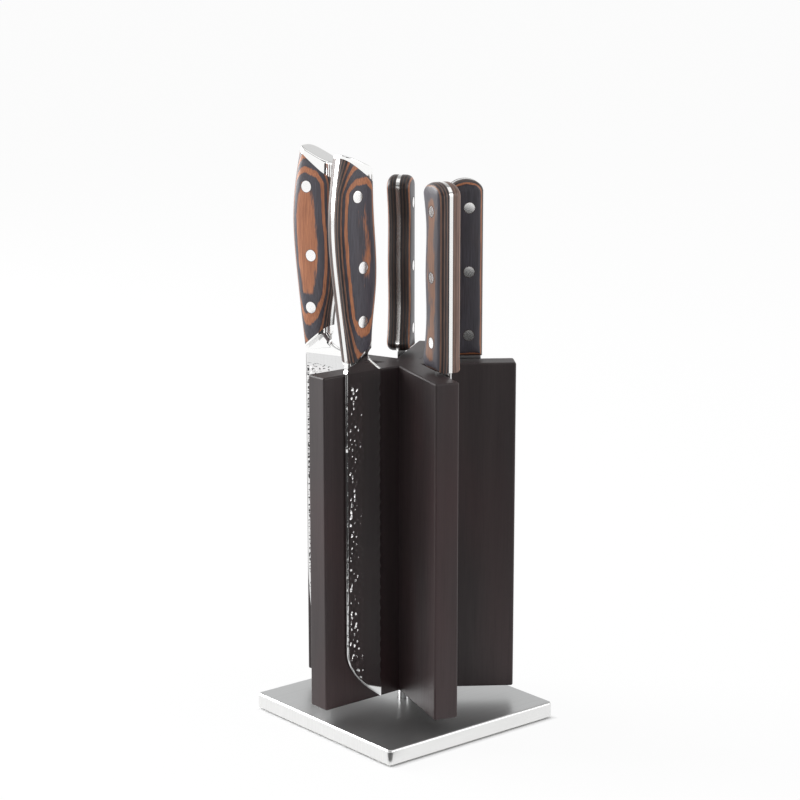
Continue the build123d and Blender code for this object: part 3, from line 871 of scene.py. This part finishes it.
def add_bolster(shell, s, width, heel_slope, drop, tilt, finish):
    """The bolster, hollowed down to the flat root that flares to the blade's heel."""
    form = HandleForm(s)
    spine_blend, belly_blend, face_blend = mm(0.4), mm(1.0), mm(0.5)
    roundness = 0.97
    root_spine, root_belly = root_sides(s, width, heel_slope)
    spine_end = seam_end(s, drop, tilt, form.lift)
    belly_end = seam_end(s, drop, tilt, lambda h: form.lift(h) - form.width(h))
    rows, columns = np.linspace(0, 1, 90), eased(84)
    spine_z, belly_z = rows * spine_end[1], rows * belly_end[1]
    spine_x = -soft_least(-root_spine(spine_z), np.full(len(rows), -spine_end[0]), spine_blend)
    belly_x = soft_least(root_belly(belly_z), np.full(len(rows), belly_end[0]), belly_blend)
    x = spine_x[:, None] + (belly_x - spine_x)[:, None] * columns[None, :]
    z = spine_z[:, None] + (belly_z - spine_z)[:, None] * columns[None, :]
    place, height = handle_place(s, drop, tilt, x, z)
    depth = soft_least(form.depth(place, height), swell_of(s, form.seam(place), height), face_blend)
    depth = np.maximum(depth, s.root / 2)
    inward = np.clip((x - belly_x[:, None]) / s.root_round, 0.0, 1.0)
    low = np.clip((s.root_belly - z) / s.foot, 0.0, 1.0)
    depth = depth * (1 - low * (1 - np.sqrt(1 - roundness * (1 - inward) ** 2)))
    shell.slab(x, depth, z, finish)


def cap_shell(s):
    """The end cap, with a rounded top edge."""
    form = HandleForm(s)
    angles = np.linspace(0, 2 * math.pi, 112, endpoint=False)[None, :]
    around = lambda height: angles
    turns = np.linspace(0, math.pi / 2, 7)
    below = lambda drop: lambda x: form.top(x) - drop
    side = form.band(np.linspace(0, 1, 9), around, form.seat, below(s.cap_edge), np.zeros(9))
    rings = [side[:-1]]
    for drop, inset in zip(s.cap_edge * (1 - np.sin(turns)), s.cap_edge * (1 - np.cos(turns))):
        rings.append(form.band(np.ones(1), around, form.seat, below(drop), np.array([inset])))
    edge = rings[-1]
    middle = edge[0].mean(0)
    rings += [middle + (edge - middle) * share for share in np.linspace(1, 0, 10)[1:]]
    shell = Shell()
    numbers = shell.grid(np.concatenate(rings), closed=True)
    shell.fill(numbers[0])
    return shell


def pointed_sides(width, length, tip_run, tip_drop):
    """Spine and edge of a pointed blade as functions of height."""
    share = np.linspace(0, 1, 200)
    point = (-tip_drop, -length)
    dip = hermite((0, tip_run - length), point, (0, -1), (-tip_drop, -tip_run / 2), share)
    belly = hermite(point, (-width, 0), (tip_drop - width, tip_run), (0, 1), share)
    return drawn_side(dip[::-1]), drawn_side(belly)


def bread_sides(width, length, tip_run, tip_slope, scallops):
    """Spine and scalloped edge of the bread blade as functions of height."""
    share = np.linspace(0, 1, 200)
    arrive = (-math.cos(tip_slope), -math.sin(tip_slope))
    dip = hermite((0, tip_run - length), (-width, -length), (0, -1), arrive, share)
    pitch, depth, start, end = scallops
    first = end - length
    total = int((-start - first) / pitch)

    def edge(z):
        phase = (z - first) / pitch
        inside = (phase > 0) & (phase < total)
        wave = 1 - (2 * (phase % 1) - 1) ** 2
        return -width + np.where(inside, depth * wave, 0)

    return drawn_side(dip[::-1]), edge


def add_blade(shell, blade, width, length, stock, sides, hammered, finish):
    """A blade ground from spine to edge, with a field that says how much it is hammered."""
    spine, edge = sides
    tip_run, fine_end, coarse_share = mm(6), 0.68, 0.13
    tip = -length + tip_run * np.linspace(0, 1, 24) ** 2
    z = np.concatenate([tip, np.linspace(tip_run - length, 0, int(length / blade.cell))[1:]])
    near = blade.spine_round / width
    fine = np.linspace(near, fine_end, int(fine_end * width / blade.cell))
    coarse = np.linspace(fine_end, 1, int(coarse_share * width / blade.cell))
    columns = np.concatenate([near * np.linspace(0, 1, 8) ** 2, fine[1:], coarse[1:]])
    x = spine(z)[:, None] + (edge(z) - spine(z))[:, None] * columns[None, :]
    away = spine(z)[:, None] - x
    back_off = np.clip(blade.spine_round - away, 0, blade.spine_round)
    fall = blade.spine_round - np.sqrt(blade.spine_round ** 2 - back_off ** 2)
    depth = stock / 2 + (stock - blade.edge) / 2 * x / width
    depth = np.maximum(depth - fall, blade.edge / 2)
    level = np.broadcast_to(z[:, None], x.shape)
    rim, rim_fade, rim_share = mm(0.5), mm(1.2), 0.5
    field = hammered(x, level) * np.clip((away - rim) / rim_fade, rim_share, 1)
    shell.slab(x, depth, level, finish, field)


def add_rivets(body, places, diameter, dome, spot):
    """The rivet heads of a knife, smooth but for their rims, from their places and axes."""
    depth, ring, sharp = mm(1.5), mm(0.12), 40
    mesh = bpy.data.meshes.new(f"{body}_pins")
    mesh.from_pydata([place for place, _ in places], [], [])
    axes = np.array([axis for _, axis in places], float)
    mesh.attributes.new("axis", "FLOAT_VECTOR", "POINT").data.foreach_set("vector", axes.ravel())
    pins = link(mesh.name, mesh)
    apply_group(pins, rivet_group(), Radius=diameter / 2, Depth=depth, Dome=dome, Ring=ring)
    smooth(pins.data, sharp)
    settle(pins, spot, body, [f"{body}_rivets"])


def forged_rivet_places(s):
    """Where the rivet heads of a contoured handle lie on its surface, and the surface's direction there."""
    form = HandleForm(s)
    at = lambda u, v: float(form.depth(np.array(u), np.array(v)))
    step = mm(0.5)
    places = []
    for inset, z in zip(s.rivet_insets, s.rivet_heights):
        x = -inset
        slope_x = (at(x + step, z) - at(x - step, z)) / (2 * step)
        slope_z = (at(x, z + step) - at(x, z - step)) / (2 * step)
        for side in (1, -1):
            places.append(((x, side * at(x, z), z), (-slope_x, side, -slope_z)))
    return places


def move(points, matrix):
    """Points moved by a matrix."""
    turned = np.array(matrix.to_3x3())
    return points @ turned.T + np.array(matrix.translation)


def forged_knife(
    context, body, wing, place, width, length, heel_slope, drop, tilt, sides, hammered, phase, layers,
):
    """All pieces of a knife with a contoured handle."""
    settings = context.scene.knife_block
    s, blade = settings.forged, settings.blade
    spot = knife_spot(settings, wing, place, s.rise, width, s.stock)
    seat = Matrix.Translation((-s.step, 0, -drop)) @ Matrix.Rotation(tilt, 4, "Y")
    for side, word in ((1, "outer"), (-1, "inner")):
        scale = build(f"{body}_wood_{word}", scale_shell(s, side), ["handle_finish"])
        settle(scale, spot @ seat, body, [f"{body}_scale_{word}"], phase, layers)
    cap = build(f"{body}_cap", cap_shell(s), ["polished_finish"])
    settle(cap, spot @ seat, body, [f"{body}_end_cap"])
    shell = Shell()
    add_blade(shell, blade, width, length, s.stock, sides, hammered, 0)
    add_bolster(shell, s, width, heel_slope, drop, tilt, 1)
    before = len(shell.points)
    add_tang(shell, s, 2)
    shell.points[before:] = move(shell.points[before:], seat)
    metal = build(f"{body}_steel", shell, ["blade_finish", "polished_finish", "tang_finish"])
    dents = {"Spacing": blade.dent_spacing, "Radius": blade.dent_radius, "Depth": blade.dent_depth}
    apply_group(metal, dent_group(), Seed=blade.dent_seed + wing, **dents)
    settle(metal, spot, body, [f"{body}_blade"])
    add_rivets(body, forged_rivet_places(s), s.rivet, s.rivet_dome, spot @ seat)


def hammer_field(width, length, reach, fade, heel, tip_fade):
    """How much a blade is hammered at a place: fully by its spine, fading to its edge, heel and tip."""
    heel_fade, tip = mm(2), mm(12)

    def field(x, z):
        deep = np.clip((x + reach * width) / fade, 0, 1)
        below_heel = np.clip((-z - heel) / heel_fade, 0, 1)
        return deep * below_heel * np.clip((z + length - tip) / tip_fade, 0, 1)

    return field


class KNIFE_OT_chef(bpy.types.Operator):
    """Build the chef's knife"""
    bl_idname = "knife_block.chef_knife"
    bl_label = "Chef's knife"

    def execute(self, context):
        blade = context.scene.knife_block.blade
        width, length, *tip = exact(blade.chef)
        forged_knife(
            context, "chef_knife", wing=2, place=mm(64.6), width=width, length=length,
            heel_slope=math.radians(12), drop=mm(1.7), tilt=0.0,
            sides=pointed_sides(width, length, *tip),
            hammered=hammer_field(width, length, reach=0.62, fade=mm(20), heel=mm(6.5), tip_fade=mm(6)),
            phase=mm(1.13), layers=bent_layers(along=0.0076, across=0.05, low=mm(40)),
        )
        return {"FINISHED"}


class KNIFE_OT_bread(bpy.types.Operator):
    """Build the bread knife"""
    bl_idname = "knife_block.bread_knife"
    bl_label = "Bread knife"

    def execute(self, context):
        blade = context.scene.knife_block.blade
        width, length, tip_run = exact(blade.bread)
        forged_knife(
            context, "bread_knife", wing=3, place=mm(52.3), width=width, length=length,
            heel_slope=math.radians(40), drop=0.0, tilt=math.radians(1.6),
            sides=bread_sides(width, length, tip_run, math.radians(36), exact(blade.scallops)),
            hammered=hammer_field(width, length, reach=0.66, fade=mm(12), heel=mm(5), tip_fade=mm(4)),
            phase=mm(0.6), layers=bent_layers(along=0.003, across=-0.02, low=mm(34)),
        )
        return {"FINISHED"}


# Small knives


def small_outline(s, extra_width, extra_front):
    """Points round a small handle's side and, for each, the middle of the handle beside it."""
    start, butt = s.butt_height + extra_front, s.butt + extra_width
    corner_width = s.front + extra_width
    heights = np.array(s.belly_heights[:]) + extra_front
    widths = np.array(s.belly_widths[:]) + extra_width
    belly = smooth_curve((s.front_round, *heights, start), (corner_width, *widths, butt))
    turn_in = s.front_round * (1 - np.cos(np.linspace(0, math.pi / 2, 9)))[:-1]
    z = np.concatenate([turn_in, np.linspace(s.front_round, start, 64)])
    turned = s.front_round ** 2 - (s.front_round - z) ** 2
    corner = corner_width - s.front_round + np.sqrt(np.maximum(turned, 0))
    width = np.where(z < s.front_round, corner, belly(z))
    arc = np.linspace(0, math.pi, 34)[1:-1]
    foot = np.linspace(0, 1, 10)[1:-1]
    spine = np.stack([np.zeros_like(z), z], -1)
    top = np.stack([-butt / 2 + butt / 2 * np.cos(arc), start + s.butt_rise * np.sin(arc)], -1)
    far = np.stack([-width, z], -1)[::-1]
    base = np.stack([-width[0] * (1 - foot), np.zeros_like(foot)], -1)
    ring = np.concatenate([spine, top, far, base])
    level = np.clip(ring[:, 1], s.front / 2, start)
    middle = np.stack([-np.maximum(belly(level), 0) / 2, level], -1)
    return ring, middle


def ring_at(ring, middle, inset, depth):
    """A ring of points moved in towards the middle, at a depth through the handle."""
    away = ring - middle
    reach = np.linalg.norm(away, axis=1, keepdims=True)
    flat = middle + away * np.clip(1 - inset / np.maximum(reach, mm(0.01)), 0, 1)
    return np.stack([flat[:, 0], np.full(len(flat), depth), flat[:, 1]], -1)


def small_scale_shell(s, side, ring, middle):
    """One scale of a small knife, rounded at its rim and slightly crowned."""
    back, face = s.stock / 2, s.thickness / 2 - s.crown
    rows = [ring_at(ring, middle, 1.0, back), ring_at(ring, middle, 0.0, back)]
    rows.append(ring_at(ring, middle, 0.0, (back + face - s.side_round) / 2))
    for turn_angle in np.linspace(0, math.pi / 2, 11):
        inset = s.side_round * (1 - math.cos(turn_angle))
        rows.append(ring_at(ring, middle, inset, face - s.side_round * (1 - math.sin(turn_angle))))
    edge = rows[-1]
    heart = ring_at(ring, middle, 1.0, face)
    for k in np.linspace(1, 0, 9)[1:]:
        level = heart + (edge - heart) * k
        level[:, 1] = face + s.crown * (1 - k * k)
        rows.append(level)
    points = np.stack(rows)
    points[..., 1] *= side
    shell = Shell()
    shell.grid(points, closed=True)
    return shell


def small_steel_shell(settings, ring, middle):
    """The blade and tang of a small knife."""
    s = settings.small
    half = s.stock / 2
    levels = ((1.0, -half), (0.0, -half), (0.0, half), (1.0, half))
    shell = Shell()
    rings = [ring_at(ring, middle, inset, depth) for inset, depth in levels]
    shell.grid(np.stack(rings), closed=True, finish=1)
    sides = pointed_sides(s.blade_width, s.blade_length, s.tip_run, s.tip_drop)
    plain_field = lambda x, z: np.zeros_like(x)
    add_blade(shell, settings.blade, s.blade_width, s.blade_length, s.stock, sides, plain_field, 0)
    return shell


def small_knife(context, body, wing, place, rise, phases, finishes, extra_width=0.0, extra_front=0.0):
    """All pieces of one small knife."""
    settings = context.scene.knife_block
    s = settings.small
    outline = small_outline(s, extra_width, extra_front)
    spot = knife_spot(settings, wing, place, rise, s.blade_width, s.stock)
    for side, word, phase, finish in zip((1, -1), ("outer", "inner"), phases, finishes):
        scale = build(f"{body}_wood_{word}", small_scale_shell(s, side, *outline), [finish])
        settle(scale, spot, body, [f"{body}_scale_{word}"], phase, bowed_ends)
    metal = build(f"{body}_steel", small_steel_shell(settings, *outline), ["blade_finish", "tang_finish"])
    settle(metal, spot, body, [f"{body}_blade"])
    inset, lowest = s.rivet_inset + extra_width / 2, s.rivet_bottom + extra_front
    heights = [lowest + i * s.rivet_pitch for i in range(3)]
    places = [((-inset, side * s.thickness / 2, z), (0, side, 0)) for z in heights for side in (1, -1)]
    add_rivets(body, places, s.rivet, s.rivet_dome, spot)


class KNIFE_OT_small(bpy.types.Operator):
    """Build the three small knives"""
    bl_idname = "knife_block.small_knives"
    bl_label = "Small knives"

    def execute(self, context):
        # The back and right knives take the handle copy with painted shade. The front knife's scales take
        # copies with painted shade and painted light.
        dark, mixed = ("smoked_finish",) * 2, ("brown_finish", "tan_finish")
        larger = {"extra_width": mm(4.5), "extra_front": mm(3.5)}
        for body, wing, place, rise, phases, finishes, extra in (
            ("back_knife", 1, mm(34.5), mm(2.8), (mm(1.2), mm(1.2)), dark, {}),
            ("front_knife", 4, mm(50.7), mm(2.1), (mm(0.4), mm(1.65)), mixed, larger),
            ("right_knife", 0, mm(47.2), mm(2.3), (mm(1.3), mm(1.3)), dark, {}),
        ):
            small_knife(context, body, wing, place, rise, phases, finishes, **extra)
        return {"FINISHED"}


# Block, base and stage


def finish_nodes(finishes):
    """Give CAD nodes their finishes."""
    for node, finish in finishes.items():
        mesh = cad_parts[node].data
        mesh.materials.clear()
        mesh.materials.append(material(finish))


class KNIFE_OT_block(bpy.types.Operator):
    """Finish the wooden star with its magnets and insert"""
    bl_idname = "knife_block.block"
    bl_label = "Wooden star"

    def execute(self, context):
        starts = {"wing_board": "wood_finish", "wing_face": "wood_finish", "wing_magnets": "magnet_finish"}
        for start, finish in starts.items():
            finish_nodes({node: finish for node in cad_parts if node.startswith(start)})
        finish_nodes({"block_insert": "insert_finish"})
        return {"FINISHED"}


class KNIFE_OT_base(bpy.types.Operator):
    """Finish the base plate, its pad and the pivot"""
    bl_idname = "knife_block.base"
    bl_label = "Base and pivot"

    def execute(self, context):
        finish_nodes({
            "base_plate": "plate_finish",
            "base_pad": "pad_finish",
            "pivot_bush": "brass_finish",
            "thrust_washer": "nylon_finish",
            "spindle": "spindle_finish",
            "retaining_washer": "fastener_finish",
            "retaining_screw": "fastener_finish",
        })
        return {"FINISHED"}


def add_light(name, place, aim, size, power):
    """A square soft light that looks at a point."""
    data = bpy.data.lights.new(name, "AREA")
    data.size, data.energy = size, power
    light = link(name, data)
    light.location = place
    light.rotation_mode = "QUATERNION"
    light.rotation_quaternion = (Vector(place) - Vector(aim)).to_track_quat("Z", "Y")
    light.visible_camera = False
    return light


def add_panel(name, width, depth, place, angles, finish):
    """A flat panel of the studio."""
    x, y = width / 2, depth / 2
    mesh = bpy.data.meshes.new(name)
    mesh.from_pydata([(-x, -y, 0), (x, -y, 0), (x, y, 0), (-x, y, 0)], [], [(0, 1, 2, 3)])
    mesh.materials.append(finish)
    panel = link(name, mesh)
    panel.location, panel.rotation_euler = place, angles
    return panel


def white_world(strength):
    """White surroundings for the camera and for reflections, greyer overhead and weaker as a light."""
    world = bpy.data.worlds.new("studio")
    world.use_nodes = True
    nodes = Nodes(world.node_tree)
    path = nodes.add("ShaderNodeLightPath").outputs
    toward = nodes.add("ShaderNodeTexCoord").outputs["Generated"]
    up = nodes.add("ShaderNodeSeparateXYZ", {0: toward}).outputs[2]
    mirrored = nodes.spread(up, 0.15, 0.7, 1.0, 0.45)
    level = nodes.spread(path["Is Glossy Ray"], 0.0, 1.0, strength, mirrored)
    level = nodes.math("MAXIMUM", level, path["Is Camera Ray"])
    light = nodes.add("ShaderNodeBackground", {"Color": (1.0, 1.0, 1.0, 1.0), "Strength": level})
    nodes.add("ShaderNodeOutputWorld", {"Surface": light.outputs[0]})
    return world


class KNIFE_OT_stage(bpy.types.Operator):
    """Build the floor, the lights and the camera"""
    bl_idname = "knife_block.stage"
    bl_label = "Stage"

    def execute(self, context):
        s = context.scene.knife_block.stage
        origin, aim = (0.0, 0.0, 0.0), (0.0, 0.0, 0.18)
        across_view = math.radians(50.3)
        flat, upright = (0.0, 0.0, across_view), (math.radians(90), 0.0, across_view)
        dark = material("screen_finish")
        floor = add_panel("floor", 40.0, 40.0, origin, origin, material("floor_finish"))
        screen = add_panel("screen", 2.6, 2.6, (2.02, -1.68, 2.2), upright, dark)
        mat = add_panel("mat", 1.4, 5.0, (2.123, -1.769, 0.002), flat, dark)
        runner = add_panel("runner", 0.08, 0.2, (0.149, -0.124, 0.002), flat, dark)
        for panel in (screen, mat, runner):
            panel.visible_camera = False
        for panel in (mat, runner):
            panel.visible_diffuse = panel.visible_shadow = False
        add_light("key", (-1.58, -0.8, 0.8), aim, 1.3, s.key)
        add_light("fill", (1.53, 0.88, 0.9), aim, 1.2, s.fill)
        add_light("above", (0.1, 0.2, 2.0), aim, 1.6, s.top)
        context.scene.world = white_world(s.world)
        context.scene.view_settings.view_transform = "Standard"
        data = bpy.data.cameras.new("camera")
        data.sensor_width, data.lens = 36.0, 103.306
        data.clip_start, data.clip_end = 0.05, 50.0
        camera = link("camera", data)
        camera.location = (1.0354, -0.8632, 0.4996)
        camera.rotation_euler = (math.radians(90 - 12.575), 0.0, math.radians(50.289))
        context.scene.camera = camera
        return {"FINISHED"}


class KNIFE_PT_panel(bpy.types.Panel):
    """Settings and steps of the knife block"""
    bl_label = "Knife block"
    bl_idname = "KNIFE_PT_panel"
    bl_space_type = "VIEW_3D"
    bl_region_type = "UI"
    bl_category = "Knife block"

    def draw(self, context):
        settings = context.scene.knife_block
        for step in STEPS:
            self.layout.operator(step.bl_idname)
        for name in KnifeBlockSettings.__annotations__:
            box, group = self.layout.box(), getattr(settings, name)
            for field in type(group).__annotations__:
                box.prop(group, field)


GROUPS = (StarSettings, ForgedSettings, BladeSettings, SmallSettings, ColourSettings, StageSettings)
STEPS = (KNIFE_OT_block, KNIFE_OT_base, KNIFE_OT_chef, KNIFE_OT_bread, KNIFE_OT_small, KNIFE_OT_stage)
CLASSES = (*GROUPS, KnifeBlockSettings, *STEPS, KNIFE_PT_panel)


def register():
    """Register the classes and the scene's settings."""
    for cls in CLASSES:
        bpy.utils.register_class(cls)
    bpy.types.Scene.knife_block = PointerProperty(type=KnifeBlockSettings)


def unregister():
    """Take the scene's settings and the classes away."""
    del bpy.types.Scene.knife_block
    for cls in reversed(CLASSES):
        bpy.utils.unregister_class(cls)


def main():
    """Build every piece in order."""
    register()
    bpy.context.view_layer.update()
    for step in STEPS:
        group, name = step.bl_idname.split(".")
        getattr(getattr(bpy.ops, group), name)()
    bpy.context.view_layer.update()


if __name__ == "__main__":
    main()
